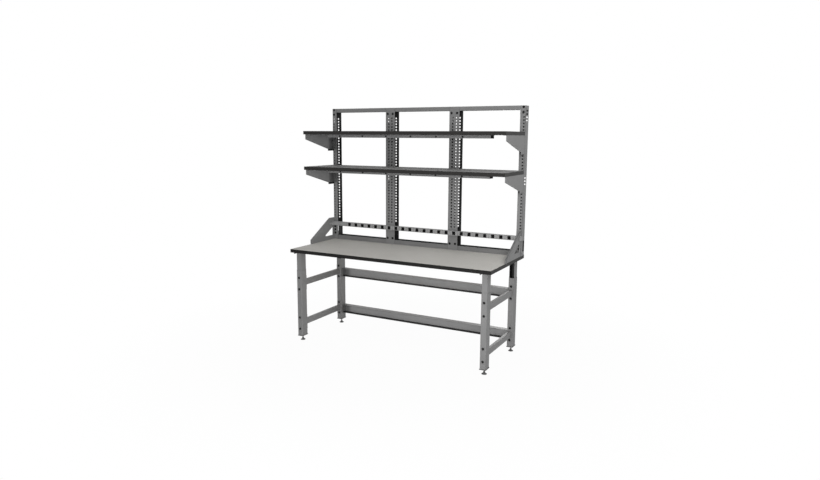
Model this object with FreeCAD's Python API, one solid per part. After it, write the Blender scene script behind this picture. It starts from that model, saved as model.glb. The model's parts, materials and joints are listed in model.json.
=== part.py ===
import FreeCAD, Part
import math
import os

# Workstation with hutch, millimetres.
# X runs along the bench, +Y to the back, +Z up; the origin is on the floor under the middle of the worktop.
os.makedirs("parts", exist_ok=True)
V = FreeCAD.Vector

# Worktop
TOP_LENGTH = 1828.8
TOP_DEPTH = 755.0
TOP_HEIGHT = 814.0
BOARD = 28.6
LAMINATE = 1.2
BAND = 2.0
FRONT = -TOP_DEPTH / 2
REAR = TOP_DEPTH / 2
UNDERSIDE = TOP_HEIGHT - BOARD

# Sheet metal
SHEET = 2.5
BEND = 1.5

# Legs
LEG_X = 854.0
LEG_WIDTH = 48.0
LEG_DEPTH = 74.0
LEG_CORNER = 3.0
LEG_Y = {"front": FRONT + 69.5, "rear": FRONT + 671.0}
LEG_BOTTOM = 47.0
LEG_TOP = 632.0
LEG_SLIDE_GAP = 0.3
INNER_BOTTOM = 430.0
HOLE_PITCH = 25.4
ADJUST_HOLE = 11.0
ADJUST_HOLES = 7
SUPPORT_WIDTH = 66.0
SUPPORT_DROP = 12.7
SUPPORT_INSET = 14.0

# Levelling feet
CAP_FLARE = 3.0
CAP_THICK = 5.0
STEM_R = 5.0
STEM_FIT = 0.2
STEM_TOP = 104.0
STEM_SIDES = 8
PAD_R = 21.0
PAD_RIM = 4.0
PAD_NECK_R = 8.0
PAD_HEIGHT = 13.0
PAD_SIDES = 24

# Side rails and rear stringers
RAIL_HEIGHT = 50.8
RAIL_WIDTH = 25.4
RAIL_WALL = 2.0
RAIL_PLATE = 4.0
RAIL_PLATE_HEIGHT = 126.0
RAIL_Z = {"upper": 511.0, "lower": 157.0}
RAIL_BOLT_SPREAD = 101.6
STRINGER_HEIGHT = 76.2
STRINGER_DEPTH = 50.8
STRINGER_INSET = 1.5
STRINGER_BACK = LEG_Y["rear"] + LEG_DEPTH / 2 - STRINGER_INSET
STRINGER_Z = {"upper": 459.0, "lower": 104.0}

# Hutch frame
FRAME_TOP = 2018.0
FRAME_SETBACK = 17.5
FRAME_OVERHANG = 4.6
UPRIGHT_DEPTH = 79.0
UPRIGHT_BACK = REAR - FRAME_SETBACK
UPRIGHT_FRONT = UPRIGHT_BACK - UPRIGHT_DEPTH
END_FLANGE = 44.5
POST_WIDTH = 92.0
POST_X = 307.0
FRAME_END = TOP_LENGTH / 2 + FRAME_OVERHANG
SLOT_WIDTH = 13.0
SLOT_HEIGHT = 12.7
SLOT_TOP = 1929.2
SLOT_COUNT = 37
END_SLOT_INSET = 13.0
POST_SLOT_SPREAD = 31.0
POST_SLOT_SHIFT = 1.5
WEB_HOLE = (44.0, 13.0)
WEB_HOLE_TOPS = {1977.0: 4, 1448.0: 3}
CABLE_SLOT = (38.0, 88.0)
CABLE_SLOT_INSET = 7.0
CABLE_SLOT_BOTTOM = TOP_HEIGHT + 35.0
TOP_RAIL_HEIGHT = 33.0
BASE_RAIL_HEIGHT = 40.0
RAIL_SEAT_GAP = 0.1
RAIL_TAB_WIDTH = 78.0
RAIL_TAB_REACH = 40.0
POST_BOLT_SPREAD = 50.0
POST_BOLT_SETBACK = {"top": 19.0, "base": 14.0}
END_BOLT_INSET = 18.0
END_BOLT_DROP = 11.0

# Gussets
GUSSET_REACH = 359.0
GUSSET_NOSE = 36.0
GUSSET_HEIGHT = 204.0
GUSSET_TOP_LENGTH = 72.0
GUSSET_FLANGE = 12.0
GUSSET_TAB = 40.0
GUSSET_CUT_SIDE = 130.0
GUSSET_CUT_RISE = 76.0
GUSSET_CUT_BACK = 34.0
GUSSET_CUT_BOTTOM = 41.0
GUSSET_CUT_CORNER = 6.0
GUSSET_BOLTS = (59.0, 90.0, 121.0)

# Power strip
STRIP_HALF = 928.0
STRIP_HEIGHT = 38.0
STRIP_DEPTH = 28.0
STRIP_Z = TOP_HEIGHT + 151.0
STRIP_STANDOFF = 3.4
STRIP_CORNER = 2.0
STRIP_OPENING_GAP = 1.5
STRIP_CAP = 6.0
OUTLET_COUNT = 24
OUTLET_PITCH = 70.35
OUTLET_FIRST = -723.0
OUTLET_WIDTH = 28.0
OUTLET_HEIGHT = 30.0
OUTLET_PROUD = 1.5
CLIP_WIDTH = 60.0
CLIP_LIP = 2.0
STRIP_EAR = (2.0, 50.0, 14.0)

# Shelves
SHELF_HALF = 919.0
SHELF_DEPTH = 439.0
SHELF_GAP = 0.5
SHELF_REAR = UPRIGHT_FRONT - SHELF_GAP
SHELF_SLOTS = {"upper": 8, "lower": 20}
SHELF_ABOVE_SLOT = 88.1
SHELF_BOLT_STEP = 2
BRACKET_GAP = 0.3
BRACKET_REACH = 413.0
BRACKET_NOSE = 43.0
BRACKET_DROP = 145.5
BRACKET_HEEL = 80.0
BRACKET_FLANGE = 30.0
BRACKET_TAB = 40.0
BRACKET_HEM = 8.0
TOE_PAD = (80.0, 10.0, 14.5)
STIFFENER_HALF = 753.0
STIFFENER_WIDTH = 70.0
STIFFENER_HEIGHT = 25.4
STIFFENER_FRONT = FRONT + 345.0
STIFFENER_FLANGE = 16.0

# Fasteners
HEAD_ACROSS = 18.0
HEAD_HEIGHT = 6.0

SIDES = {"left": -1, "right": 1}
AXIS = {"x": 0, "y": 1, "z": 2}


def point(normal, u, v, w):
    """A point whose normal-axis value is w and whose other two values, in XYZ order, are u and v."""
    values = [u, v]
    values.insert(AXIS[normal], w)
    return V(*values)


def rounded_wire(outline, radii, normal, level):
    """A closed wire through the outline, with each corner of a non-zero radius turned into an arc."""
    count = len(outline)
    stops = []
    for i in range(count):
        here = V(*outline[i], 0)
        back = V(*outline[i - 1], 0) - here
        ahead = V(*outline[(i + 1) % count], 0) - here
        if radii[i] <= 0:
            stops.append((here,))
            continue
        back.normalize()
        ahead.normalize()
        half = back.getAngle(ahead) / 2
        reach = radii[i] / math.tan(half)
        inward = back + ahead
        inward.normalize()
        middle = here + inward * (radii[i] / math.sin(half) - radii[i])
        stops.append((here + back * reach, middle, here + ahead * reach))

    def place(p):
        return point(normal, p.x, p.y, level)

    edges = []
    for i in range(count):
        stop = [place(p) for p in stops[i]]
        following = place(stops[(i + 1) % count][0])
        if len(stop) == 3:
            edges.append(Part.Arc(*stop).toShape())
        if stop[-1].distanceToPoint(following) > 1e-6:
            edges.append(Part.LineSegment(stop[-1], following).toShape())
    return Part.Wire(edges)


def prism(outline, normal, low, high, radius=0.0, holes=()):
    """A plate of the given outline between two levels; holes are (outline, radius) pairs."""
    face = Part.Face(rounded_wire(outline, [radius] * len(outline), normal, low))
    for hole, hole_radius in holes:
        face = face.cut(Part.Face(rounded_wire(hole, [hole_radius] * len(hole), normal, low)))
    return face.extrude(point(normal, 0, 0, high - low))


def offset_path(path, distance):
    """The path moved to its left by the distance, with mitred corners."""
    moved = []
    for i, (u, v) in enumerate(path):
        normals = []
        for a, b in ((i - 1, i), (i, i + 1)):
            if a < 0 or b >= len(path):
                continue
            du = path[b][0] - path[a][0]
            dv = path[b][1] - path[a][1]
            length = math.hypot(du, dv)
            normals.append((-dv / length, du / length))
        nu = sum(n[0] for n in normals) / len(normals)
        nv = sum(n[1] for n in normals) / len(normals)
        scale = distance / (nu * nu + nv * nv)
        moved.append((u + nu * scale, v + nv * scale))
    return moved


def folded(path, normal, low, high, thick=SHEET):
    """Sheet metal with tight folds: the path is the outside of the section, the metal lies to its left."""
    return prism(list(path) + offset_path(path, thick)[::-1], normal, low, high)


def sheet(path, normal, low, high, thick=SHEET, bend=BEND):
    """Like folded, with round bends."""
    inside = offset_path(path, thick)
    outline = list(path) + inside[::-1]
    radii = []
    for i in range(len(path)):
        end = i in (0, len(path) - 1)
        before = path[i - 1]
        after = path[(i + 1) % len(path)]
        turn = 0 if end else cross(before, path[i], after)
        radii.append(0 if end else (bend + thick if turn > 0 else bend))
    back = [0 if r == 0 else (bend if r > bend else bend + thick) for r in radii]
    wire = rounded_wire(outline, radii + back[::-1], normal, low)
    return Part.Face(wire).extrude(point(normal, 0, 0, high - low))


def cross(a, b, c):
    return (b[0] - a[0]) * (c[1] - b[1]) - (b[1] - a[1]) * (c[0] - b[0])


def box(x0, x1, y0, y1, z0, z1):
    return Part.makeBox(x1 - x0, y1 - y0, z1 - z0, V(x0, y0, z0))


def rectangle(u0, u1, v0, v1):
    return [(u0, v0), (u1, v0), (u1, v1), (u0, v1)]


def eased(u0, u1, v0, v1, cut):
    """A rectangle whose corners are cut off."""
    return [(u0 + cut, v0), (u1 - cut, v0), (u1, v0 + cut), (u1, v1 - cut),
            (u1 - cut, v1), (u0 + cut, v1), (u0, v1 - cut), (u0, v0 + cut)]


def ring(x, y, radius, sides):
    turns = [2 * math.pi * k / sides for k in range(sides)]
    return [(x + radius * math.cos(t), y + radius * math.sin(t)) for t in turns]


def join(first, *others):
    return first.multiFuse(list(others)).removeSplitter()


def group(solids):
    return Part.makeCompound(solids)


def mirrored(shape, side):
    """The shape as built for the right side, or its mirror image for the left."""
    return shape if side > 0 else shape.mirror(V(0, 0, 0), V(1, 0, 0))


def save(name, shape):
    shape.exportStep("parts/" + name + ".step")


def bolt_head(x, y, z):
    """A hexagon head seated on a face that looks to the front."""
    return prism(ring(x, z, HEAD_ACROSS / math.sqrt(3), 6), "y", y - HEAD_HEIGHT, y)


# Boards

def edge_band(half_length, y0, y1, z0, z1):
    outer = rectangle(-half_length, half_length, y0, y1)
    inner = rectangle(-half_length + BAND, half_length - BAND, y0 + BAND, y1 - BAND)
    return prism(outer, "z", z0, z1, 0, [(inner, 0)])


def board(half_length, y0, y1, z0, z1):
    return box(-half_length + BAND, half_length - BAND, y0 + BAND, y1 - BAND, z0, z1)


def build_worktop():
    half = TOP_LENGTH / 2
    save("worktop_core", board(half, FRONT, REAR, UNDERSIDE, TOP_HEIGHT - LAMINATE))
    save("worktop_laminate", board(half, FRONT, REAR, TOP_HEIGHT - LAMINATE, TOP_HEIGHT))
    save("worktop_edge_band", edge_band(half, FRONT, REAR, UNDERSIDE, TOP_HEIGHT))
    for name, side in SIDES.items():
        x0 = side * LEG_X - SUPPORT_WIDTH / 2
        x1 = side * LEG_X + SUPPORT_WIDTH / 2
        low = UNDERSIDE - SUPPORT_DROP
        path = [(x1, low), (x1, UNDERSIDE), (x0, UNDERSIDE), (x0, low)]
        save("worktop_support_" + name, folded(path, "y", FRONT + SUPPORT_INSET, REAR - SUPPORT_INSET))


# Legs and base frame

def leg_places():
    for row in LEG_Y:
        for name, side in SIDES.items():
            yield row + "_" + name, row, side * LEG_X, LEG_Y[row]


def outer_leg(x, y):
    a = LEG_WIDTH / 2
    b = LEG_DEPTH / 2
    bore = rectangle(x - a + SHEET, x + a - SHEET, y - b + SHEET, y + b - SHEET)
    tube = eased(x - a, x + a, y - b, y + b, LEG_CORNER)
    return prism(tube, "z", LEG_BOTTOM, LEG_TOP, 0, [(bore, 0)])


def inner_leg(x, y, row):
    """A channel that slides in the outer leg: front legs show their web, rear legs open to the front."""
    a = LEG_WIDTH / 2 - SHEET - LEG_SLIDE_GAP
    b = LEG_DEPTH / 2 - SHEET - LEG_SLIDE_GAP
    facing = -1 if row == "front" else 1
    web = y + facing * b
    tip = y - facing * b
    path = [(x - a, tip), (x - a, web), (x + a, web), (x + a, tip)]
    if facing > 0:
        path.reverse()
    top = UNDERSIDE - SHEET
    leg = folded(path, "z", INNER_BOTTOM, top)
    half = ADJUST_HOLE / 2
    holes = []
    for i in range(ADJUST_HOLES):
        z = RAIL_Z["upper"] - RAIL_BOLT_SPREAD / 2 + HOLE_PITCH * i
        holes.append(box(x - half, x + half, web - 2 * SHEET, web + 2 * SHEET, z - half, z + half))
    return leg.cut(group(holes))


def leg_cap(x, y):
    a = LEG_WIDTH / 2 + CAP_FLARE
    b = LEG_DEPTH / 2 + CAP_FLARE
    plate = eased(x - a, x + a, y - b, y + b, LEG_CORNER)
    bore = ring(x, y, STEM_R + STEM_FIT, STEM_SIDES)
    return prism(plate, "z", LEG_BOTTOM - CAP_THICK, LEG_BOTTOM, 0, [(bore, 0)])


def foot_pad(x, y):
    """A disc with a cone-shaped top; its sides are flats, many enough to read as round."""
    rings = []
    for radius, z in ((PAD_R, 0), (PAD_R, PAD_RIM), (PAD_NECK_R, PAD_HEIGHT)):
        around = [V(u, v, z) for u, v in ring(x, y, radius, PAD_SIDES)]
        rings.append(around + around[:1])
    outlines = [rings[0], rings[-1]]
    for low, high in zip(rings, rings[1:]):
        for k in range(PAD_SIDES):
            outlines.append([low[k], low[k + 1], high[k + 1], high[k], low[k]])
    faces = [Part.Face(Part.makePolygon(outline)) for outline in outlines]
    return Part.makeSolid(Part.makeShell(faces))


def foot_stem(x, y):
    return prism(ring(x, y, STEM_R, STEM_SIDES), "z", PAD_HEIGHT, STEM_TOP)


def side_rail(x, z):
    """A rectangular tube between the legs, with a bolting plate on each end."""
    y0 = LEG_Y["front"] + LEG_DEPTH / 2
    y1 = LEG_Y["rear"] - LEG_DEPTH / 2
    a = RAIL_WIDTH / 2
    b = RAIL_HEIGHT / 2
    bore = rectangle(x - a + RAIL_WALL, x + a - RAIL_WALL, z - b + RAIL_WALL, z + b - RAIL_WALL)
    tube = prism(eased(x - a, x + a, z - b, z + b, RAIL_WALL), "y", y0 + RAIL_PLATE, y1 - RAIL_PLATE,
                 0, [(bore, 0)])
    c = LEG_WIDTH / 2 - LEG_CORNER
    d = RAIL_PLATE_HEIGHT / 2
    ends = [box(x - c, x + c, y, y + RAIL_PLATE, z - d, z + d) for y in (y0, y1 - RAIL_PLATE)]
    return join(tube, *ends)


def stringer(z):
    """A channel between the rear legs, open to the front, with a plate closing each end."""
    half = LEG_X - LEG_WIDTH / 2
    tip = STRINGER_BACK - STRINGER_DEPTH
    top = z + STRINGER_HEIGHT
    path = [(tip, z), (STRINGER_BACK, z), (STRINGER_BACK, top), (tip, top)]
    channel = folded(path, "x", -half, half)
    ends = [box(x, x + SHEET, tip + SHEET, STRINGER_BACK - SHEET, z + SHEET, top - SHEET)
            for x in (-half, half - SHEET)]
    return join(channel, *ends)


def build_base():
    caps = []
    bolts = []
    for name, row, x, y in leg_places():
        save("outer_leg_" + name, outer_leg(x, y))
        save("inner_leg_" + name, inner_leg(x, y, row))
        save("foot_pad_" + name, foot_pad(x, y))
        save("foot_stem_" + name, foot_stem(x, y))
        caps.append(leg_cap(x, y))
        seat = y - LEG_DEPTH / 2 - (RAIL_PLATE if row == "rear" else 0)
        for z in RAIL_Z.values():
            for step in (-0.5, 0.5):
                bolts.append(bolt_head(x, seat, z + step * RAIL_BOLT_SPREAD))
    save("leg_end_caps", group(caps))
    save("leg_bolts", group(bolts))
    for level, z in RAIL_Z.items():
        for name, side in SIDES.items():
            save("side_rail_" + level + "_" + name, side_rail(side * LEG_X, z))
    for level, z in STRINGER_Z.items():
        save("rear_stringer_" + level, stringer(z))


# Hutch frame

def slot_column(x, y0, y1):
    """The cutters for one column of slots through a flange."""
    cutters = []
    for i in range(SLOT_COUNT):
        z = SLOT_TOP - HOLE_PITCH * i
        cutters.append(box(x - SLOT_WIDTH / 2, x + SLOT_WIDTH / 2, y0, y1,
                           z - SLOT_HEIGHT / 2, z + SLOT_HEIGHT / 2))
    return cutters


def perforated(upright, columns):
    """Slots through both flanges in the given columns."""
    cutters = []
    for x in columns:
        cutters += slot_column(x, UPRIGHT_FRONT - SHEET, UPRIGHT_FRONT + 2 * SHEET)
        cutters += slot_column(x, UPRIGHT_BACK - 2 * SHEET, UPRIGHT_BACK + SHEET)
    return upright.cut(group(cutters))


def web_holes(x0, x1, ceiling):
    """The cutters for the groups of wide holes along the middle of a web, those below the ceiling."""
    middle = (UPRIGHT_FRONT + UPRIGHT_BACK) / 2
    a = WEB_HOLE[0] / 2
    b = WEB_HOLE[1] / 2
    cutters = []
    for top, count in WEB_HOLE_TOPS.items():
        for i in range(count):
            z = top - HOLE_PITCH * i
            if z + b < ceiling:
                cutters.append(box(x0, x1, middle - a, middle + a, z - b, z + b))
    return cutters


def end_upright():
    """The right end's channel: its web is the outside, and its flanges point inwards."""
    tip = FRAME_END - END_FLANGE
    path = [(tip, UPRIGHT_FRONT), (FRAME_END, UPRIGHT_FRONT), (FRAME_END, UPRIGHT_BACK), (tip, UPRIGHT_BACK)]
    upright = sheet(path, "z", TOP_HEIGHT, FRAME_TOP)
    upright = perforated(upright, [FRAME_END - END_SLOT_INSET])
    x0 = FRAME_END - 2 * SHEET
    x1 = FRAME_END + SHEET
    y1 = UPRIGHT_BACK - CABLE_SLOT_INSET
    cable_slot = box(x0, x1, y1 - CABLE_SLOT[0], y1, CABLE_SLOT_BOTTOM, CABLE_SLOT_BOTTOM + CABLE_SLOT[1])
    return upright.cut(group(web_holes(x0, x1, FRAME_TOP) + [cable_slot]))


def middle_post(x):
    """A wide channel open to the right, whose web is notched where the rails pass through it."""
    web = x - POST_WIDTH / 2
    tip = x + POST_WIDTH / 2
    path = [(tip, UPRIGHT_BACK), (web, UPRIGHT_BACK), (web, UPRIGHT_FRONT), (tip, UPRIGHT_FRONT)]
    post = sheet(path, "z", TOP_HEIGHT, FRAME_TOP)
    columns = [x + POST_SLOT_SHIFT + side * POST_SLOT_SPREAD / 2 for side in SIDES.values()]
    post = perforated(post, columns)
    x0 = web - SHEET
    x1 = web + SHEET + BEND
    y0 = UPRIGHT_FRONT + SHEET
    y1 = UPRIGHT_BACK - SHEET
    notch = FRAME_TOP - TOP_RAIL_HEIGHT - SHEET
    foot = box(x0, x1, y0, y1, TOP_HEIGHT - SHEET, TOP_HEIGHT + BASE_RAIL_HEIGHT + SHEET)
    head = box(x0, x1, y0, y1, notch, FRAME_TOP + SHEET)
    return post.cut(group(web_holes(x0, x1, notch) + [foot, head]))


def cross_rail(z_web, z_lip):
    """A channel along the frame, inside the uprights' flanges, with tabs that the posts bolt to."""
    half = FRAME_END - SHEET - BEND
    y0 = UPRIGHT_FRONT + SHEET + RAIL_SEAT_GAP
    y1 = UPRIGHT_BACK - SHEET - RAIL_SEAT_GAP
    path = [(y0, z_lip), (y0, z_web), (y1, z_web), (y1, z_lip)]
    if z_web > z_lip:
        path.reverse()
    rail = folded(path, "x", -half, half)
    reach = math.copysign(RAIL_TAB_REACH, z_lip - z_web)
    z0, z1 = sorted((z_lip, z_lip + reach))
    spans = [(x - RAIL_TAB_WIDTH / 2, x + RAIL_TAB_WIDTH / 2) for x in (-POST_X, POST_X)]
    spans += [(-half, -half + END_FLANGE - SHEET), (half - END_FLANGE + SHEET, half)]
    tabs = [box(x0, x1, y0, y0 + SHEET, z0, z1) for x0, x1 in spans]
    return join(rail, *tabs)


def gusset_outline(y0, y1):
    base = TOP_HEIGHT
    top = base + GUSSET_HEIGHT
    return [(y0, base), (y0, base + GUSSET_NOSE), (y1 - GUSSET_TOP_LENGTH, top), (y1, top), (y1, base)]


def gusset():
    """The right gusset: a plate with flanges turned out, a lightening cut-out and a way for the strip."""
    y1 = UPRIGHT_FRONT
    y0 = y1 - GUSSET_REACH
    outline = gusset_outline(y0, y1)
    cut_y = y1 - GUSSET_CUT_BACK
    cut_z = TOP_HEIGHT + GUSSET_CUT_BOTTOM
    cut = [(cut_y - GUSSET_CUT_SIDE, cut_z), (cut_y, cut_z), (cut_y, cut_z + GUSSET_CUT_RISE)]
    x1 = TOP_LENGTH / 2
    x0 = x1 - SHEET
    plate = prism(outline, "x", x0, x1, 0, [(cut, GUSSET_CUT_CORNER)])
    flange = folded(outline[3::-1], "x", x0, x1 + GUSSET_FLANGE)
    tab = box(x1 - GUSSET_TAB, x1, y1 - SHEET, y1, TOP_HEIGHT, TOP_HEIGHT + GUSSET_HEIGHT)
    strip_back = UPRIGHT_FRONT - STRIP_STANDOFF
    strip_front = strip_back - STRIP_DEPTH
    gap = STRIP_OPENING_GAP
    half = STRIP_HEIGHT / 2 + gap
    opening = box(x0 - SHEET, x1 + SHEET, strip_front - gap, y1 - SHEET, STRIP_Z - half, STRIP_Z + half)
    return join(plate, flange, tab).cut(opening)


def frame_bolts():
    heads = []
    ends = FRAME_END - END_BOLT_INSET
    low = TOP_HEIGHT + BASE_RAIL_HEIGHT + POST_BOLT_SETBACK["base"]
    high = FRAME_TOP - TOP_RAIL_HEIGHT - POST_BOLT_SETBACK["top"]
    for side in SIDES.values():
        for z in (low, high):
            for step in (-0.5, 0.5):
                heads.append(bolt_head(side * POST_X + step * POST_BOLT_SPREAD, UPRIGHT_FRONT, z))
        for z in (high, FRAME_TOP - END_BOLT_DROP):
            heads.append(bolt_head(side * ends, UPRIGHT_FRONT, z))
        for rise in GUSSET_BOLTS:
            heads.append(bolt_head(side * ends, UPRIGHT_FRONT - SHEET, TOP_HEIGHT + rise))
    return group(heads)


def build_hutch():
    for name, side in SIDES.items():
        save("end_upright_" + name, mirrored(end_upright(), side))
        save("middle_post_" + name, middle_post(side * POST_X))
        save("gusset_" + name, mirrored(gusset(), side))
    save("top_rail", cross_rail(FRAME_TOP, FRAME_TOP - TOP_RAIL_HEIGHT))
    save("base_rail", cross_rail(TOP_HEIGHT, TOP_HEIGHT + BASE_RAIL_HEIGHT))
    save("frame_bolts", frame_bolts())


# Power strip

def build_power_strip():
    y1 = UPRIGHT_FRONT - STRIP_STANDOFF
    y0 = y1 - STRIP_DEPTH
    half = STRIP_HEIGHT / 2
    body_half = STRIP_HALF - STRIP_CAP
    section = eased(y0, y1, STRIP_Z - half, STRIP_Z + half, STRIP_CORNER)
    save("power_strip_housing", prism(section, "x", -body_half, body_half))
    a = OUTLET_WIDTH / 2
    b = OUTLET_HEIGHT / 2
    outlets = []
    for i in range(OUTLET_COUNT):
        x = OUTLET_FIRST + OUTLET_PITCH * i
        outlets.append(box(x - a, x + a, y0 - OUTLET_PROUD, y0, STRIP_Z - b, STRIP_Z + b))
    save("power_strip_outlets", group(outlets))
    for name, side in SIDES.items():
        x0, x1 = sorted((side * body_half, side * STRIP_HALF))
        save("power_strip_end_cap_" + name, prism(section, "x", x0, x1))
    clips = []
    inside = TOP_LENGTH / 2 - SHEET
    for side in SIDES.values():
        x0 = side * POST_X - CLIP_WIDTH / 2
        x1 = x0 + CLIP_WIDTH
        back = box(x0, x1, y1, UPRIGHT_FRONT, STRIP_Z - half - CLIP_LIP, STRIP_Z + half + CLIP_LIP)
        for z0 in (STRIP_Z - half - CLIP_LIP, STRIP_Z + half):
            back = back.fuse(box(x0, x1, y0 + STRIP_CORNER, y1, z0, z0 + CLIP_LIP))
        clips.append(back.removeSplitter())
        ear = box(inside - STRIP_EAR[0], inside, y0 - STRIP_EAR[1], y0,
                  STRIP_Z - STRIP_EAR[2] / 2, STRIP_Z + STRIP_EAR[2] / 2)
        clips.append(mirrored(ear, side))
    save("power_strip_clips", group(clips))


# Shelves

def shelf_bracket(z):
    """The right bracket: a tapered plate with flanges turned in at its top, back and sloping edges."""
    x1 = FRAME_END - BRACKET_GAP / 2
    x0 = x1 - SHEET
    y1 = UPRIGHT_FRONT - BRACKET_GAP
    y0 = y1 - BRACKET_REACH
    nose = z - BRACKET_NOSE
    toe = z - BRACKET_DROP
    heel = y1 - BRACKET_HEEL
    outline = [(y0, z), (y0, nose), (heel, toe + TOE_PAD[2]), (heel, toe), (y1, toe), (y1, z)]
    plate = prism(outline, "x", x0, x1)
    top = box(x1 - BRACKET_FLANGE, x1, y0, y1, z - SHEET, z)
    back = box(x1 - BRACKET_TAB, x1, y1 - SHEET, y1, toe, z)
    hem = folded([(y0, z), (y0, nose), (heel, toe + TOE_PAD[2])], "x", x1 - BRACKET_HEM, x1)
    return join(plate, top, back, hem)


def toe_pad(z):
    x1 = FRAME_END - BRACKET_GAP / 2 - SHEET
    y1 = UPRIGHT_FRONT - BRACKET_GAP - SHEET
    toe = z - BRACKET_DROP
    return box(x1 - TOE_PAD[1], x1, y1 - TOE_PAD[0], y1, toe, toe + TOE_PAD[2])


def stiffener(z):
    """A hat channel under the board, open at its ends."""
    y0 = STIFFENER_FRONT
    y1 = y0 + STIFFENER_WIDTH
    low = z - STIFFENER_HEIGHT
    path = [(y0 - STIFFENER_FLANGE, z - SHEET), (y0, z - SHEET), (y0, low), (y1, low), (y1, z - SHEET),
            (y1 + STIFFENER_FLANGE, z - SHEET)]
    return folded(path, "x", -STIFFENER_HALF, STIFFENER_HALF)


def shelf_bolts(z):
    heads = []
    seat = UPRIGHT_FRONT - BRACKET_GAP - SHEET
    for side in SIDES.values():
        for step in (0, SHELF_BOLT_STEP):
            level = z + BOARD - SHELF_ABOVE_SLOT - step * HOLE_PITCH
            heads.append(bolt_head(side * (FRAME_END - END_BOLT_INSET), seat, level))
    return group(heads)


def build_shelf(level, top):
    y0 = SHELF_REAR - SHELF_DEPTH
    low = top - BOARD
    name = level + "_shelf_"
    save(name + "board", board(SHELF_HALF, y0, SHELF_REAR, low, top))
    save(name + "edge_band", edge_band(SHELF_HALF, y0, SHELF_REAR, low, top))
    for side_name, side in SIDES.items():
        save(name + "bracket_" + side_name, mirrored(shelf_bracket(low), side))
    save(name + "toe_pads", group([mirrored(toe_pad(low), side) for side in SIDES.values()]))
    save(name + "stiffener", stiffener(low))
    save(name + "bolts", shelf_bolts(low))


build_worktop()
build_base()
build_hutch()
build_power_strip()
for shelf_level, shelf_slot in SHELF_SLOTS.items():
    build_shelf(shelf_level, SLOT_TOP - HOLE_PITCH * shelf_slot + SHELF_ABOVE_SLOT)
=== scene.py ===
import json
import math

import bmesh
import bpy
from mathutils import Matrix, Vector


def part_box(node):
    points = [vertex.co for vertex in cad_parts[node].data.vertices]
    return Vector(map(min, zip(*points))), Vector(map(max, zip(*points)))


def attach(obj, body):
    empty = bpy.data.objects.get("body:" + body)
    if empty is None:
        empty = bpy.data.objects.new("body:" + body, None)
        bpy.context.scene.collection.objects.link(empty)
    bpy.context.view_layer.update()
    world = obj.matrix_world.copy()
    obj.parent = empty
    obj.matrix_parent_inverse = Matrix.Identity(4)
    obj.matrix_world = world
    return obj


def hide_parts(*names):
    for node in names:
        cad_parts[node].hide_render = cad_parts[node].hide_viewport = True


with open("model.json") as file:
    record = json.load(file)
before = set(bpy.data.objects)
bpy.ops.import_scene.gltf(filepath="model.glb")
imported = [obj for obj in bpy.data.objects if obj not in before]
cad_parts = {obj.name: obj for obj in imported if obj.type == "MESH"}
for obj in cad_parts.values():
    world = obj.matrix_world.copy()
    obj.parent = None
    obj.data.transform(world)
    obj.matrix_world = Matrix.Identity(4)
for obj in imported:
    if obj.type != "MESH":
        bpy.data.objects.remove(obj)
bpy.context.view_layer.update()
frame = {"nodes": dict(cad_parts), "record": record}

NODES = frame["nodes"]

# The photograph's width in pixels and the camera fitted to it, in metres and radians
PHOTO_WIDTH = 820
CAMERA_PLACE = (2.5071, -4.6002, 1.7737)
CAMERA_YAW = 0.4912
CAMERA_PITCH = -0.1625
CAMERA_ROLL = 0.0054
FOCAL_PIXELS = 632.37
SENSOR = 36.0

# The studio: light levels, the floor, and lamps by name, place, target, size and power
WORLD_LIGHT = 0.24
FLOOR_HALF = 40.0
FLOOR_GREY = 0.5
FLOOR_ROUGHNESS = 0.9
FLOOR_GLOW = 0.97
FLOOR_FADE = (1.0, 2.6)
LAMPS = (
    ("front", (2.5, -4.6, 1.8), (0.0, 0.0, 1.0), 2.0, 132.0),
    ("low", (0.6, -2.6, 0.25), (0.2, 0.3, 0.3), 1.0, 18.0),
    ("top", (2.6, -2.0, 3.4), (0.3, 0.0, 0.9), 1.8, 57.0),
    ("back", (-0.4, 4.8, 0.6), (0.0, 0.0, 1.0), 1.0, 65.0),
    ("left", (-4.8, 0.8, 1.0), (0.0, 0.0, 1.0), 1.6, 65.0),
)

# Sizes of the sheet metal, in metres
SHEET = 0.0025
STIFFENER_FLANGE = 0.016
GUSSET_FLANGE = 0.0112
STRINGER_LIP = 0.0045
STRINGER_WEB = 0.003
RAIL_PLATE = 0.004

# Modules of the power strip along X, in metres
STRIP_START = -0.723
STRIP_PITCH = 0.07035
STRIP_SEAM = 0.0014

SHELVES = ("upper_shelf", "lower_shelf")
FEET = ("front_left", "front_right", "rear_left", "rear_right")


# Node helpers

# Colour sockets of a mix node
MIX_FIRST, MIX_SECOND, MIX_RESULT = 6, 7, 2


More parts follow.
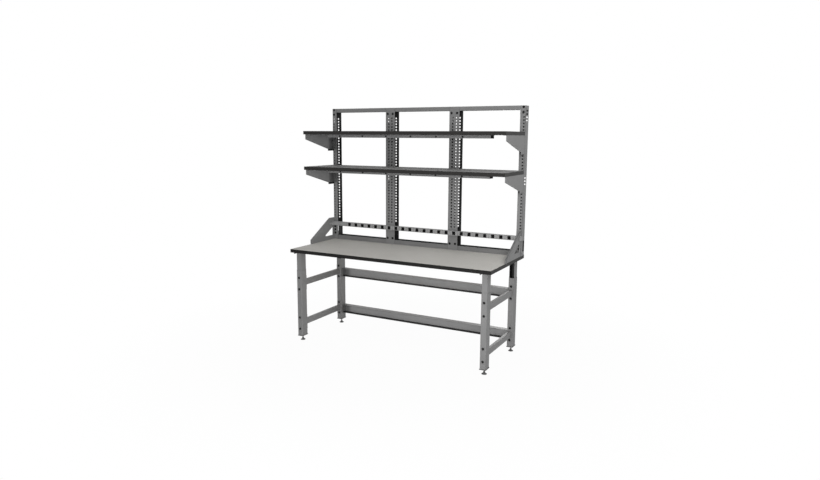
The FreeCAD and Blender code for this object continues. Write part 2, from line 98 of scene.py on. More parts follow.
class Material:
    """A node material with a principled shader, and short ways to add nodes to it.

    Values given with the name are set on the shader's own sockets.
    """

    def __init__(self, name, **values):
        self.data = bpy.data.materials.new(name)
        self.data.use_nodes = True
        self.tree = self.data.node_tree
        self.shader = self.tree.nodes["Principled BSDF"]
        self.place = self.add("ShaderNodeTexCoord").outputs["Object"]
        self.split = None
        for socket, value in values.items():
            self.shader.inputs[socket.replace("_", " ")].default_value = value

    def add(self, kind, **values):
        """A new node with the given properties."""
        node = self.tree.nodes.new(kind)
        for key, value in values.items():
            setattr(node, key, value)
        return node

    def link(self, output, node, socket):
        """Leads an output to a socket of a node."""
        self.tree.links.new(output, node.inputs[socket])

    def set(self, socket, output):
        """Leads an output to a socket of the shader."""
        self.link(output, self.shader, socket)

    def noise(self, scale, detail=4.0, roughness=0.55, stretch=None):
        """A noise value over the object's own place, in features per metre."""
        node = self.add("ShaderNodeTexNoise")
        node.inputs["Scale"].default_value = scale
        node.inputs["Detail"].default_value = detail
        node.inputs["Roughness"].default_value = roughness
        place = self.place
        if stretch:
            mapping = self.add("ShaderNodeMapping")
            mapping.inputs["Scale"].default_value = stretch
            self.link(place, mapping, "Vector")
            place = mapping.outputs["Vector"]
        self.link(place, node, "Vector")
        return node.outputs["Fac"]

    def specks(self, scale, output="Distance"):
        """The distance to the nearest of scattered cells, or that cell's colour."""
        node = self.add("ShaderNodeTexVoronoi")
        node.inputs["Scale"].default_value = scale
        self.link(self.place, node, "Vector")
        return node.outputs[output]

    def ramp(self, value, stops):
        """A colour ramp through (place, colour) stops."""
        node = self.add("ShaderNodeValToRGB")
        self.link(value, node, "Fac")
        elements = node.color_ramp.elements
        while len(elements) < len(stops):
            elements.new(0.5)
        for element, (place, colour) in zip(elements, stops):
            element.position = place
            element.color = (*colour, 1.0)
        return node.outputs["Color"]

    def greys(self, value, low, high, start=0.3, end=0.7):
        """A ramp between two greys."""
        return self.ramp(value, [(start, grey(low)), (end, grey(high))])

    def blend(self, factor, first, second, mode="MIX"):
        """Two colours mixed by a factor, each a socket or a plain value."""
        node = self.add("ShaderNodeMix", data_type="RGBA", blend_type=mode)
        if isinstance(factor, float):
            node.inputs["Factor"].default_value = factor
        else:
            self.link(factor, node, "Factor")
        for socket, value in ((MIX_FIRST, first), (MIX_SECOND, second)):
            if isinstance(value, tuple):
                node.inputs[socket].default_value = (*value, 1.0)
            else:
                self.link(value, node, socket)
        return node.outputs[MIX_RESULT]

    def span(self, value, source=(0.0, 1.0), target=(0.0, 1.0), **values):
        """The value moved from one range to another."""
        node = self.add("ShaderNodeMapRange", **values)
        sockets = ("From Min", "From Max", "To Min", "To Max")
        for socket, number in zip(sockets, (*source, *target)):
            node.inputs[socket].default_value = number
        self.link(value, node, "Value")
        return node.outputs["Result"]

    def rough(self, scale, low, high):
        """A roughness that drifts between two values."""
        self.set("Roughness", self.span(self.noise(scale), target=(low, high)))

    def bump(self, height, strength, distance, soften=0.0):
        """Surface relief, over edges softened by the given radius."""
        node = self.add("ShaderNodeBump")
        node.inputs["Strength"].default_value = strength
        node.inputs["Distance"].default_value = distance
        self.link(height, node, "Height")
        if soften:
            bevel = self.add("ShaderNodeBevel", samples=4)
            bevel.inputs["Radius"].default_value = soften
            self.link(bevel.outputs["Normal"], node, "Normal")
        self.set("Normal", node.outputs["Normal"])

    def recess(self, distance, stops):
        """A painted shade: a darker colour for places that are hemmed in by other surfaces
        within the distance.
        """
        node = self.add("ShaderNodeAmbientOcclusion", samples=12)
        node.inputs["Distance"].default_value = distance
        return self.ramp(node.outputs["AO"], [(place, grey(value)) for place, value in stops])

    def compute(self, operation, *values):
        """A math node over sockets or plain numbers."""
        node = self.add("ShaderNodeMath", operation=operation)
        for socket, value in enumerate(values):
            if isinstance(value, float):
                node.inputs[socket].default_value = value
            else:
                self.link(value, node, socket)
        return node.outputs[0]

    def axis(self, name):
        """One of the three values of the object's own place."""
        if self.split is None:
            self.split = self.add("ShaderNodeSeparateXYZ")
            self.link(self.place, self.split, "Vector")
        return self.split.outputs[name]

    def within(self, boxes):
        """1 inside any of the boxes, given by lowest and highest corners, else 0."""
        found = None
        for low, high in boxes:
            mask = None
            for name, a, b in zip("XYZ", low, high):
                inside = self.compute("COMPARE", self.axis(name), (a + b) / 2, (b - a) / 2)
                mask = inside if mask is None else self.compute("MULTIPLY", mask, inside)
            found = mask if found is None else self.compute("MAXIMUM", found, mask)
        return found

    def slope(self, name, start, end):
        """A smooth rise from 0 to 1 along one axis."""
        return self.span(self.axis(name), (start, end), interpolation_type="SMOOTHSTEP")

    def seams(self, first, pitch, width):
        """1 on narrow lines across X, spaced by the pitch from the first, else 0."""
        along = self.compute("SUBTRACT", self.axis("X"), first - pitch / 2)
        turn = self.compute("FRACT", self.compute("DIVIDE", along, pitch))
        off = self.compute("ABSOLUTE", self.compute("SUBTRACT", turn, 0.5))
        return self.compute("LESS_THAN", off, width / pitch / 2)


def grey(value):
    """A colour of three equal values."""
    return (value, value, value)


# Materials

# The paint's greys in its clouds and its grain, and the share of the grain
PAINT_CLOUD = (0.17, 0.192)
PAINT_GRAIN = (0.11, 0.26)
GRAIN_SHARE = 0.12

# Painted shade of hemmed-in places by their openness, and how far off they are hemmed in, in
# metres
OPEN_SHADE = [(0.20, 0.05), (0.30, 0.3), (0.38, 0.9), (0.45, 1.0)]
SHADE_REACH = 0.11

# Greys of the painted shade in channels, brackets and stringers, and of the gussets' darker
# flanges, and how far each varies
CHANNEL_SHADE_GREY = 0.01
BRACKET_SHADE_GREY = 0.085
STRINGER_SHADE_GREY = 0.006
GUSSET_FLANGE_GREY = 0.12
DARK_GREY_RANGE = (0.8, 1.2)

# How far boxes of painted shade are drawn in from the sheet and let out past open sides, in
# metres
SKIN = 0.0003
PAST = 0.01

# A bracket's painted shade: where it starts and is full, in front of its rear, and the
# unshaded bands under its top flange and over its toe, in metres
BRACKET_SHADE = (0.085, 0.045)
BRACKET_BAND = 0.016
TOE_RISE = 0.016

# Painted light on the stringers, painted shade on the base rail and at the stringers' left
# ends along X
STRINGER_PAINTED_LIGHT = 1.62
BASE_RAIL_PAINTED_SHADE = 0.88
STRINGER_END = (-0.752, -0.805)
END_SHADE = 0.45

# Laminate: its specks against its ground, and green's share in its warmth
SPECK_SHADE = 0.80
GREEN_WARMTH = 0.3

# Edge band: the tint of its light streaks
EDGE_TINT = (1.0, 0.95, 0.9)

# Power strip: greys of its coat and of the seams
STRIP_GREYS = (0.265, 0.295)
SEAM_GREY = 0.07

# How far a moulded surface's roughness drifts
ROUGH_DRIFT = 0.07


def hollow(node, open_sides, lips=0.0):
    """The space inside a folded sheet: its box drawn in by a skin, let out past open sides."""
    corners = []
    for corner, sign, inward in zip(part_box(node), "-+", (1, -1)):
        values = []
        for axis, value in zip("xyz", corner):
            if sign + axis in open_sides:
                values.append(value - inward * PAST)
            else:
                values.append(value + inward * (SKIN + (lips if axis == "y" else 0.0)))
        corners.append(values)
    return corners


def frame_paint(name, shade=None, dark=(), tone=CHANNEL_SHADE_GREY, falloff=None, light=1.0, end=None):
    """Grey powder coat: a fine orange peel and faint cloudiness.

    It can take painted shade in recesses, darker greys in boxes, there with a falloff along Y,
    and painted shade towards an end along X. The boxes hold painted shade in channels,
    brackets and stringers, and only darken the gussets' flanges; light makes the whole paint
    lighter or darker, as painted light or shade.
    """
    m = Material(name, Metallic=0.0)
    cloud = m.noise(5.0, detail=3.0)
    grain = m.noise(900.0, detail=2.0)
    # A lightness other than 1 is painted light or painted shade on the whole part
    base = m.greys(cloud, *(light * value for value in PAINT_CLOUD))
    fine = m.greys(grain, *(light * value for value in PAINT_GRAIN), start=0.35, end=0.65)
    base = m.blend(GRAIN_SHARE, base, fine)
    # Painted shade in recesses
    if shade:
        base = m.blend(1.0, base, m.recess(SHADE_REACH, shade), "MULTIPLY")
    # Painted shade towards an end, as at the stringers' left ends
    if end:
        dim = m.greys(m.slope("X", *end), 1.0, END_SHADE, start=0.0, end=1.0)
        base = m.blend(1.0, base, dim, "MULTIPLY")
    # Painted shade inside channels, brackets and stringers; on the gussets' flanges only a
    # darker grey
    if dark:
        mask = m.within(dark)
        if falloff:
            mask = m.compute("MULTIPLY", mask, m.slope("Y", *falloff))
        dark_grey = m.greys(m.noise(25.0), *(tone * value for value in DARK_GREY_RANGE))
        base = m.blend(mask, base, dark_grey)
    m.set("Base Color", base)
    m.rough(40.0, low=0.42, high=0.56)
    m.bump(grain, strength=0.12, distance=0.0006, soften=0.0009)
    return m.data


def channel_paint(name, lips=0.0, light=1.0, **open_sides):
    """The frame's paint, with painted shade inside channels that are given by node and open
    sides.
    """
    boxes = [hollow(node, sides, lips) for node, sides in open_sides.items()]
    return frame_paint(name, dark=boxes, light=light)


def bracket_paint():
    """The frame's paint, with painted shade in the inner corner where a bracket meets its
    upright.
    """
    boxes = []
    for shelf in SHELVES:
        for side, open_sides in (("left", "+x-y+y"), ("right", "-x-y+y")):
            low, high = hollow(shelf + "_bracket_" + side, open_sides)
            boxes.append(((*low[:2], low[2] + TOE_RISE), (*high[:2], high[2] - BRACKET_BAND)))
    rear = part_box("upper_shelf_bracket_left")[1][1]
    falloff = [rear - reach for reach in BRACKET_SHADE]
    return frame_paint("bracket_paint", OPEN_SHADE, boxes, BRACKET_SHADE_GREY, falloff)


def stringer_paint():
    """The frame's paint, made lighter as painted light, with painted shade on the lower flange
    and in the corner at the left leg.
    """
    boxes = []
    for level in ("upper", "lower"):
        low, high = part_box("rear_stringer_" + level)
        boxes.append(((low[0], low[1] - PAST, low[2] - PAST),
                      (high[0], high[1] - STRINGER_WEB, low[2] + STRINGER_LIP)))
    return frame_paint("stringer_paint", dark=boxes, tone=STRINGER_SHADE_GREY, light=STRINGER_PAINTED_LIGHT,
                       end=STRINGER_END)


def gusset_paint():
    """The frame's paint, with the turned-out flanges a little darker."""
    low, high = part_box("gusset_right")
    right = ((high[0] - GUSSET_FLANGE, low[1] - PAST, low[2] - PAST),
             (high[0] + PAST, high[1] + PAST, high[2] + PAST))
    left = ((-right[1][0], *right[0][1:]), (-right[0][0], *right[1][1:]))
    return frame_paint("gusset_paint", dark=[left, right], tone=GUSSET_FLANGE_GREY)


def laminate(name, light, warmth):
    """Grey laminate: a fine speckle under a matt, faintly pebbled surface."""
    m = Material(name, Specular_IOR_Level=0.25)
    warm = (light, light * (1.0 - GREEN_WARMTH * warmth), light * (1.0 - warmth))
    dark = tuple(SPECK_SHADE * value for value in warm)
    speck = m.ramp(m.specks(420.0), [(0.12, dark), (0.45, warm)])
    cloud = m.greys(m.noise(3.0), 0.94, 1.0)
    m.set("Base Color", m.blend(1.0, speck, cloud, "MULTIPLY"))
    m.rough(60.0, low=0.62, high=0.74)
    m.bump(m.noise(1400.0, detail=2.0), strength=0.06, distance=0.0004)
    return m.data


def edge_plastic(name, dark, light):
    """Near-black edge band with a fine extruded streak along it."""
    m = Material(name, Specular_IOR_Level=0.07)
    streak = m.noise(30.0, roughness=0.6, stretch=(1.0, 1.0, 60.0))
    warm = tuple(light * share for share in EDGE_TINT)
    m.set("Base Color", m.ramp(streak, [(0.3, grey(dark)), (0.7, warm)]))
    m.rough(80.0, low=0.34, high=0.5)
    m.bump(streak, strength=0.1, distance=0.0004, soften=0.0008)
    return m.data


def board_core():
    """Raw particle board: pressed chips of several tans."""
    m = Material("particle_board")
    tans = [(0.2, (0.30, 0.21, 0.13)), (0.8, (0.52, 0.40, 0.27))]
    m.set("Base Color", m.ramp(m.specks(220.0, "Color"), tans))
    m.rough(300.0, low=0.75, high=0.92)
    m.bump(m.noise(500.0), strength=0.4, distance=0.0008)
    return m.data


def black_steel():
    """Black-oxide fastener: dark, a little worn on its high spots."""
    m = Material("black_steel", Metallic=0.2, Specular_IOR_Level=0.2)
    m.set("Base Color", m.greys(m.noise(260.0), 0.003, 0.009, start=0.35, end=0.75))
    m.rough(500.0, low=0.36, high=0.55)
    m.bump(m.noise(1200.0), strength=0.15, distance=0.0003)
    return m.data


def dark_steel():
    """Oiled dark steel, with brighter flecks where the thread has rubbed."""
    m = Material("dark_steel", Metallic=0.8)
    m.set("Base Color", m.greys(m.noise(900.0), 0.07, 0.18, start=0.4, end=0.75))
    m.rough(300.0, low=0.3, high=0.5)
    m.bump(m.noise(1500.0), strength=0.1, distance=0.0002)
    return m.data


def moulded(name, dark, light, rough=0.5, gloss=0.5):
    """Moulded plastic with a fine spark-eroded grain."""
    m = Material(name, Specular_IOR_Level=gloss)
    m.set("Base Color", m.greys(m.noise(12.0), dark, light))
    m.rough(150.0, rough - ROUGH_DRIFT, rough + ROUGH_DRIFT)
    m.bump(m.noise(1600.0, detail=2.0), strength=0.14, distance=0.0003, soften=0.0006)
    return m.data


def strip_coat():
    """Light grey coated housing, with a fine seam between the modules of the strip."""
    m = Material("strip_grey", Specular_IOR_Level=0.4)
    seam = m.seams(STRIP_START + STRIP_PITCH / 2, STRIP_PITCH, STRIP_SEAM)
    base = m.greys(m.noise(12.0), *STRIP_GREYS)
    m.set("Base Color", m.blend(seam, base, grey(SEAM_GREY)))
    m.rough(150.0, low=0.40, high=0.52)
    relief = m.compute("SUBTRACT", m.noise(1600.0, detail=2.0), seam)
    m.bump(relief, strength=0.2, distance=0.0004, soften=0.0006)
    return m.data


# The frame's paint, with painted shade in hemmed-in places
PAINT = frame_paint("frame_paint", OPEN_SHADE)
BRACKET_PAINT = bracket_paint()
SHELF_EDGE = edge_plastic("shelf_edge_plastic", dark=0.02, light=0.034)
BLACK_STEEL = black_steel()
STEM = dark_steel()
PAD = moulded("foot_grey", dark=0.085, light=0.12)
OUTLET = moulded("outlet_black", dark=0.0015, light=0.003, gloss=0.06)

# Looks by the start of a node's name
NODE_LOOKS = {
    "end_upright": channel_paint(
        "upright_paint", end_upright_left="+x-z+z", end_upright_right="-x-z+z"),
    "middle_post": channel_paint(
        "post_paint", middle_post_left="+x-z+z", middle_post_right="+x-z+z"),
    "base_rail": channel_paint(
        "base_rail_paint", light=BASE_RAIL_PAINTED_SHADE, base_rail="-x+x+z"),
    "top_rail": channel_paint(
        "top_rail_paint", top_rail="-x+x-z"),
    "inner_leg_front": channel_paint(
        "front_leg_paint", inner_leg_front_left="+y-z+z", inner_leg_front_right="+y-z+z"),
    "inner_leg_rear": channel_paint(
        "rear_leg_paint", inner_leg_rear_left="-y-z+z", inner_leg_rear_right="-y-z+z"),
    "upper_shelf_stiffener": channel_paint(
        "upper_stiffener_paint", lips=STIFFENER_FLANGE, upper_shelf_stiffener="-x+x+z"),
    "lower_shelf_stiffener": channel_paint(
        "lower_stiffener_paint", lips=STIFFENER_FLANGE, lower_shelf_stiffener="-x+x+z"),
    "upper_shelf_bracket": BRACKET_PAINT,
    "lower_shelf_bracket": BRACKET_PAINT,
    "rear_stringer": stringer_paint(),
    "gusset": gusset_paint(),
    "leg_end_caps": moulded("leg_cap_grey", dark=0.05, light=0.07),
    "upper_shelf_edge": SHELF_EDGE,
    "lower_shelf_edge": SHELF_EDGE,
}

# Looks of all other nodes, by material slot
SLOT_LOOKS = {
    "frame_paint": PAINT,
    "board_core": board_core(),
    "laminate": laminate("worktop_laminate", light=0.70, warmth=0.08),
    "shelf_board": laminate("shelf_laminate", light=0.33, warmth=0.01),
    "edge_band": edge_plastic("edge_plastic", dark=0.008, light=0.02),
    "black_bolt": BLACK_STEEL,
    "bright_steel": STEM,
    "foot_pad": PAD,
    "strip_body": strip_coat(),
    "outlet": OUTLET,
    "toe_pad": moulded("toe_rubber", dark=0.004, light=0.009, rough=0.7, gloss=0.15),
}


def paint_nodes():
    """Gives each node the look for the start of its name, or else for its slot."""
    for part in frame["record"]["subparts"]:
        name = part["node"]
        looks = [look for start, look in NODE_LOOKS.items() if name.startswith(start)]
        materials = NODES[name].data.materials
        materials.clear()
        materials.append(looks[0] if looks else SLOT_LOOKS[part["material_slot"]])


# Shapes, in millimetres

MM = Matrix.Scale(0.001, 4)
TO_FRONT = Matrix.Rotation(math.pi / 2, 4, "X")
TO_FLOOR = Matrix.Rotation(math.pi, 4, "X")
UP = Vector((0, 0, 1))
ROUND = 36
SHARP_ANGLE = math.radians(35)

# Points closer than this are one, in metres
SAME_POINT = 1e-6


def circle(radius, z, sides=ROUND):
    """A round ring."""
    turns = [math.tau * k / sides for k in range(sides)]
    return [(radius * math.cos(t), radius * math.sin(t), z) for t in turns]


def hexagon(across, z, limit=math.inf):
    """A ring round a hexagon, with the corners cut back to the limit radius."""
    points = []
    for k in range(ROUND):
        turn = math.tau * k / ROUND
        radius = min(limit, across / 2 / math.cos(turn % (math.pi / 3) - math.pi / 6))
        points.append((radius * math.cos(turn), radius * math.sin(turn), z))
    return points


def rounded(width, height, radius, z, steps=4):
    """A ring round a rectangle with rounded corners."""
    points = []
    for side, rise, start in ((1, 1, 0.0), (-1, 1, 0.5), (-1, -1, 1.0), (1, -1, 1.5)):
        for k in range(steps + 1):
            turn = math.pi * (start + 0.5 * k / steps)
            points.append((side * (width / 2 - radius) + radius * math.cos(turn),
                           rise * (height / 2 - radius) + radius * math.sin(turn), z))
    return points


def moved(ring, right, up):
    """A ring at another place in its plane."""
    return [(x + right, y + up, z) for x, y, z in ring]


def skin(bm, place, rings, first=True, last=True):
    """Faces between rings of equally many points, with caps on the end rings if asked for."""
    rows = [[bm.verts.new(place @ Vector(p)) for p in ring] for ring in rings]
    for low, high in zip(rows, rows[1:]):
        for k in range(len(low)):
            bm.faces.new((low[k - 1], low[k], high[k], high[k - 1]))
    if first:
        bm.faces.new(rows[0][::-1])
    if last:
        bm.faces.new(rows[-1])


def pierced(bm, place, outline, holes):
    """A flat face with holes."""
    edges = []
    for ring in [outline] + holes:
        verts = [bm.verts.new(place @ Vector(p)) for p in ring]
        edges += [bm.edges.new((verts[k - 1], verts[k])) for k in range(len(verts))]
    bmesh.ops.triangle_fill(bm, use_beauty=True, edges=edges)


def new_object(name, data):
    """An object in the scene for a mesh, a lamp or a camera."""
    obj = bpy.data.objects.new(name, data)
    bpy.context.scene.collection.objects.link(obj)
    return obj


def piece(name, bm, body, look, slot, *replaced):
    """Hands a mesh over as an object that rides on a body and may stand for nodes."""
    bmesh.ops.remove_doubles(bm, verts=bm.verts, dist=SAME_POINT)
    bmesh.ops.recalc_face_normals(bm, faces=bm.faces)
    mesh = bpy.data.meshes.new(name)
    bm.to_mesh(mesh)
    bm.free()
    mesh.shade_smooth()
    mesh.set_sharp_from_angle(angle=SHARP_ANGLE)
    mesh.materials.append(look)
    obj = new_object(name, mesh)
    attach(obj, body)
    if replaced:
        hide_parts(*replaced)


def solids_of(node):
    """The lowest and highest corners of each separate solid of a node, in order of place."""
    bm = bmesh.new()
    bm.from_mesh(NODES[node].data)
    bmesh.ops.remove_doubles(bm, verts=bm.verts, dist=SAME_POINT)
    boxes = []
    seen = set()
    for vert in bm.verts:
        if vert in seen:
            continue
        seen.add(vert)
        solid = [vert]
        for member in solid:
            for edge in member.link_edges:
                other = edge.other_vert(member)
                if other not in seen:
                    seen.add(other)
                    solid.append(other)
        spans = list(zip(*(v.co for v in solid)))
        boxes.append((tuple(min(s) for s in spans), tuple(max(s) for s in spans)))
    bm.free()
    return sorted(boxes, key=lambda box: [round(v, 4) for v in box[0]])


def middle(box):
    """The point in the middle of a box."""
    return [(a + b) / 2 for a, b in zip(*box)]


# Detail pieces

# Bolt head: rings by radius or width across flats, height, and limit radius, in millimetres
BOLT_FLANGE = [(10.3, 0.0), (10.3, 0.8), (9.9, 1.2), (8.6, 1.8)]
BOLT_HEXAGON = [(14.0, 2.0), (14.0, 4.9), (14.0, 5.6, 7.3)]
BOLT_DISH = [(6.4, 6.0), (5.6, 5.6), (1.0, 5.5)]
BOLT_TURN = math.radians(37)

# Screw head: rings by share of the head's radius and height; the radii in millimetres
SCREW_HEAD = [(1.0, 0.0), (1.0, 0.7), (0.93, 1.5), (0.75, 2.2)]
SCREW_SOCKET = [(0.7, 2.5), (0.7, 1.2)]
STIFFENER_SCREW = 8.0
FLANGE_SCREW = 4.8

# Places of the screws on the stiffeners and under the brackets' top flanges, in metres
SCREW_COUNT = 6
SCREW_FIRST = -0.6255
SCREW_PITCH = 0.2293
SCREW_RISE = 0.012
FLANGE_SCREWS = (-0.08, 0.07, 0.22)
FLANGE_SCREW_INSET = 0.018

# Foot: rings of the pad, the nut and the plain stem, and the thread, in millimetres
PAD_RINGS = [(16.0, 0.0), (20.3, 0.0), (21.0, 0.7), (21.0, 3.0), (20.5, 3.9), (19.4, 4.6),
             (14.5, 8.0), (10.3, 10.9), (9.0, 12.2), (8.2, 12.8), (7.4, 13.0)]
PAD_SIDES = 48
NUT_RINGS = [(15.0, 14.0, 7.6), (15.0, 14.9), (15.0, 20.1), (15.0, 21.0, 7.6)]
STEM_RINGS = [(4.5, 69.0), (4.5, 103.0), (3.6, 104.0)]
THREAD_FOOT = 13.0
THREAD_TOP = 68.0
THREAD_PITCH = 2.0
THREAD_STEPS = 5
THREAD_SIDES = 20
THREAD_ROOT = 3.9
THREAD_DEPTH = 0.75
THREAD_STEEPNESS = 1.15

# Receptacle: rings by width, height, corner radius and rise, and its holes, in millimetres
PLATE_RINGS = [(28.0, 30.0, 2.5, 0.0), (28.0, 30.0, 2.5, 0.6), (27.4, 29.4, 2.2, 0.9)]
FACE_RINGS = [(23.0, 25.0, 5.0, 0.9), (23.0, 25.0, 5.0, 1.3), (22.6, 24.6, 4.8, 1.5)]
BLADE_SLOT = (2.2, 8.0, 0.5, 1.5)
BLADE_STEPS = 2
BLADE_PLACES = ((-5.5, 3.5), (5.5, 3.5))
GROUND_HOLE = (2.4, 1.5)
GROUND_SIDES = 16
GROUND_PLACE = (0.0, -6.0)
HOLE_FLOOR = 0.95

# Weld bead round a side rail's tube, in millimetres, with its ripple in steps
RAIL_SECTION = (25.4, 50.8)
RAIL_CORNER = 2.0
CORNER_STEPS = 3
BEAD_STEP = 0.9
BEAD_RADIUS = 2.2
BEAD_SIDES = 8
RIPPLE_HEIGHT = 0.10
RIPPLE_STEPS = 4


def bolt_rings():
    """A flanged hexagon head with a chamfered and slightly dished top."""
    return ([circle(*ring) for ring in BOLT_FLANGE] + [hexagon(*ring) for ring in BOLT_HEXAGON]
            + [circle(*ring) for ring in BOLT_DISH])


def screw_rings(radius):
    """A pan head with a hexagon socket."""
    return ([circle(share * radius, z) for share, z in SCREW_HEAD]
            + [hexagon(share * radius, z) for share, z in SCREW_SOCKET])


def add_bolts(node, body, look, slot):
    """Heads for all bolts of a node, each turned differently."""
    bm = bmesh.new()
    for i, box in enumerate(solids_of(node)):
        x, _, z = middle(box)
        turn = Matrix.Rotation(i * BOLT_TURN, 4, "Z")
        skin(bm, Matrix.Translation((x, box[1][1], z)) @ TO_FRONT @ turn @ MM, bolt_rings())
    piece(node + "_heads", bm, body, look, slot, node)


def add_shelf_screws(shelf):
    """Screws along the front of the stiffener, and up through the brackets' top flanges."""
    low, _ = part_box(shelf + "_stiffener")
    bm = bmesh.new()
    for k in range(SCREW_COUNT):
        seat = (SCREW_FIRST + k * SCREW_PITCH, low[1] + STIFFENER_FLANGE, low[2] + SCREW_RISE)
        skin(bm, Matrix.Translation(seat) @ TO_FRONT @ MM, screw_rings(STIFFENER_SCREW))
    piece(shelf + "_stiffener_screws", bm, shelf, BLACK_STEEL, "black_bolt")
    bm = bmesh.new()
    for side in ("left", "right"):
        low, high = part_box(shelf + "_bracket_" + side)
        x = low[0] + FLANGE_SCREW_INSET if side == "left" else high[0] - FLANGE_SCREW_INSET
        for y in FLANGE_SCREWS:
            seat = (x, y, high[2] - SHEET)
            skin(bm, Matrix.Translation(seat) @ TO_FLOOR @ MM, screw_rings(FLANGE_SCREW))
    piece(shelf + "_bracket_screws", bm, shelf, BLACK_STEEL, "black_bolt")


def thread_ring(z):
    """A ring round a helical ridge at one height."""
    points = []
    for k in range(THREAD_SIDES):
        share = k / THREAD_SIDES
        turn = math.tau * share
        ridge = abs(2 * ((z / THREAD_PITCH - share) % 1.0) - 1)
        radius = THREAD_ROOT + THREAD_DEPTH * min(1.0, THREAD_STEEPNESS * ridge)
        points.append((radius * math.cos(turn), radius * math.sin(turn), z))
    return points


def add_feet():
    """Turned pads with rounded rims, and threaded stems with a nut."""
    step = THREAD_PITCH / THREAD_STEPS
    count = round((THREAD_TOP - THREAD_FOOT) / step)
    stem = [thread_ring(THREAD_FOOT + k * step) for k in range(count + 1)]
    stem += [circle(*ring, THREAD_SIDES) for ring in STEM_RINGS]
    for name in FEET:
        body = "foot_" + name
        x, y, _ = middle(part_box("foot_pad_" + name))
        place = Matrix.Translation((x, y, 0.0)) @ MM
        bm = bmesh.new()
        skin(bm, place, [circle(*ring, PAD_SIDES) for ring in PAD_RINGS])
        piece("foot_pad_turned_" + name, bm, body, PAD, "foot_pad", "foot_pad_" + name)
        bm = bmesh.new()
        skin(bm, place, stem)
        skin(bm, place, [hexagon(*ring) for ring in NUT_RINGS])
        piece("foot_stem_turned_" + name, bm, body, STEM, "bright_steel", "foot_stem_" + name)


def add_outlets():
    """Receptacles: a plate with a raised face, two blade slots and a ground hole."""
    plate = [rounded(*ring) for ring in PLATE_RINGS]
    face = [rounded(*ring) for ring in FACE_RINGS]
    holes = [moved(rounded(*BLADE_SLOT, BLADE_STEPS), *place) for place in BLADE_PLACES]
    holes.append(moved(circle(*GROUND_HOLE, GROUND_SIDES), *GROUND_PLACE))
    bm = bmesh.new()
    for box in solids_of("power_strip_outlets"):
        x, _, z = middle(box)
        place = Matrix.Translation((x, box[1][1], z)) @ TO_FRONT @ MM
        skin(bm, place, plate)
        skin(bm, place, face, first=False, last=False)
        pierced(bm, place, face[-1], holes)
        for hole in holes:
            skin(bm, place, [hole, [(p[0], p[1], HOLE_FLOOR) for p in hole]], first=False)
    piece("outlet_faces", bm, "worktop_unit", OUTLET, "outlet", "power_strip_outlets")


def bead(bm, place):
    """A rippled weld bead round a rectangular tube."""
    corners = [Vector(p) for p in rounded(*RAIL_SECTION, RAIL_CORNER, 0.0, CORNER_STEPS)]
    path = []
    for a, b in zip(corners, corners[1:] + corners[:1]):
        count = max(1, round((b - a).length / BEAD_STEP))
        path += [a.lerp(b, k / count) for k in range(count)]
    turns = [math.tau * i / BEAD_SIDES for i in range(BEAD_SIDES)]
    rows = []
    for k, point in enumerate(path):
        along = (path[(k + 1) % len(path)] - path[k - 1]).normalized()
        out = along.cross(UP)
        radius = BEAD_RADIUS * (1.0 + RIPPLE_HEIGHT * math.sin(math.tau * k / RIPPLE_STEPS))
        rows.append([point + radius * (math.cos(t) * out + math.sin(t) * UP) for t in turns])
    skin(bm, place, rows + rows[:1], first=False, last=False)


def add_welds():
    """Beads where the side rails' tubes meet their bolting plates."""
    bm = bmesh.new()
    for level in ("upper", "lower"):
        for side in ("left", "right"):
            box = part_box("side_rail_" + level + "_" + side)
            x, _, z = middle(box)
            for y in (box[0][1] + RAIL_PLATE, box[1][1] - RAIL_PLATE):
                bead(bm, Matrix.Translation((x, y, z)) @ TO_FRONT @ MM)
    piece("rail_welds", bm, "base", PAINT, "frame_paint")


# Studio

def seen_directly(tree):
    """1 for what is looked at straight, in a reflection or through glass, else 0."""
    path = tree.nodes.new("ShaderNodeLightPath")
    seen = path.outputs["Is Camera Ray"]
    for other in ("Is Glossy Ray", "Is Transmission Ray"):
        either = tree.nodes.new("ShaderNodeMath")
        either.operation = "MAXIMUM"
        tree.links.new(seen, either.inputs[0])
        tree.links.new(path.outputs[other], either.inputs[1])
        seen = either.outputs[0]
    return seen


def mix_shaders(tree, share, first, second, output):
    """Leads two shaders, mixed by a share, to the surface of an output."""
    mix = tree.nodes.new("ShaderNodeMixShader")
    tree.links.new(share, mix.inputs["Fac"])
    tree.links.new(first.outputs[0], mix.inputs[1])
    tree.links.new(second.outputs[0], mix.inputs[2])
    tree.links.new(mix.outputs[0], tree.nodes[output].inputs["Surface"])


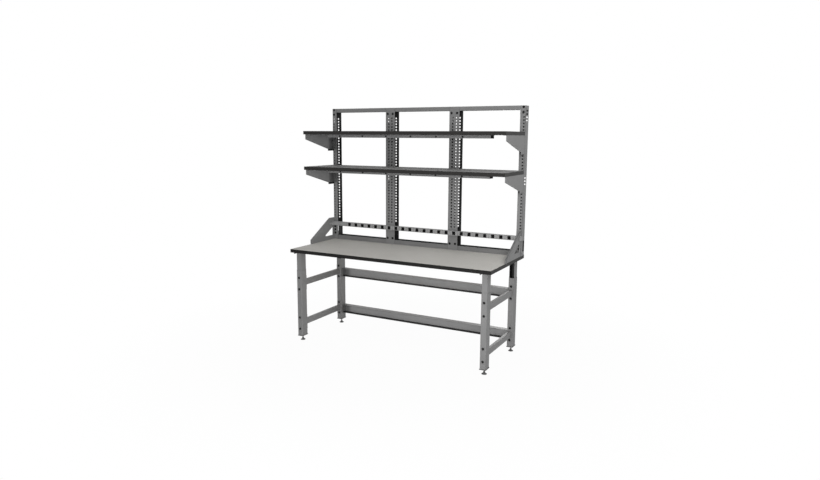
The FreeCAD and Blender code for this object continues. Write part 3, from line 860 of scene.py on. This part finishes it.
def add_floor():
    """A pale floor that shows as white, apart from the object's soft shadow."""
    half = FLOOR_HALF
    corners = [(-half, -half, 0), (half, -half, 0), (half, half, 0), (-half, half, 0)]
    mesh = bpy.data.meshes.new("floor")
    mesh.from_pydata(corners, [], [(0, 1, 2, 3)])
    floor = new_object("floor", mesh)
    m = Material("floor", Roughness=FLOOR_ROUGHNESS, Base_Color=(*grey(FLOOR_GREY), 1.0))
    away = m.add("ShaderNodeVectorMath", operation="LENGTH")
    m.link(m.place, away, 0)
    fade = m.span(away.outputs["Value"], FLOOR_FADE, (FLOOR_GLOW, 1.0))
    share = m.compute("MULTIPLY", seen_directly(m.tree), fade)
    glow = m.add("ShaderNodeEmission")
    mix_shaders(m.tree, share, m.shader, glow, "Material Output")
    mesh.materials.append(m.data)


def add_world():
    """A dim even light from all sides, behind a white backdrop."""
    world = bpy.data.worlds.new("studio")
    bpy.context.scene.world = world
    world.use_nodes = True
    tree = world.node_tree
    dim = tree.nodes["Background"]
    dim.inputs["Strength"].default_value = WORLD_LIGHT
    white = tree.nodes.new("ShaderNodeBackground")
    for background in (dim, white):
        background.inputs["Color"].default_value = (*grey(1.0), 1.0)
    mix_shaders(tree, seen_directly(tree), dim, white, "World Output")


def add_lamp(name, place, target, size, power):
    """A square lamp that is turned to its target and doesn't show itself."""
    lamp = bpy.data.lights.new(name, "AREA")
    lamp.size = size
    lamp.energy = power
    obj = new_object(name, lamp)
    obj.visible_camera = False
    obj.location = place
    aim = Vector(target) - Vector(place)
    obj.rotation_euler = aim.to_track_quat("-Z", "Y").to_euler()


def add_camera():
    """The camera of the photograph."""
    data = bpy.data.cameras.new("camera")
    data.sensor_fit = "HORIZONTAL"
    data.sensor_width = SENSOR
    data.lens = FOCAL_PIXELS * SENSOR / PHOTO_WIDTH
    camera = new_object("camera", data)
    turn = (Matrix.Rotation(CAMERA_YAW, 4, "Z")
            @ Matrix.Rotation(math.pi / 2 + CAMERA_PITCH, 4, "X")
            @ Matrix.Rotation(CAMERA_ROLL, 4, "Z"))
    camera.matrix_world = Matrix.Translation(CAMERA_PLACE) @ turn
    bpy.context.scene.camera = camera


paint_nodes()
add_bolts("leg_bolts", "base", BLACK_STEEL, "black_bolt")
add_bolts("frame_bolts", "worktop_unit", BLACK_STEEL, "black_bolt")
for shelf in SHELVES:
    # The shelf bolts take the bracket paint, and with it the painted shade in the brackets'
    # corners
    add_bolts(shelf + "_bolts", shelf, BRACKET_PAINT, "frame_paint")
    add_shelf_screws(shelf)
add_feet()
add_outlets()
add_welds()
add_floor()
add_world()
for lamp in LAMPS:
    add_lamp(*lamp)
add_camera()
bpy.context.scene.view_settings.view_transform = "Standard"
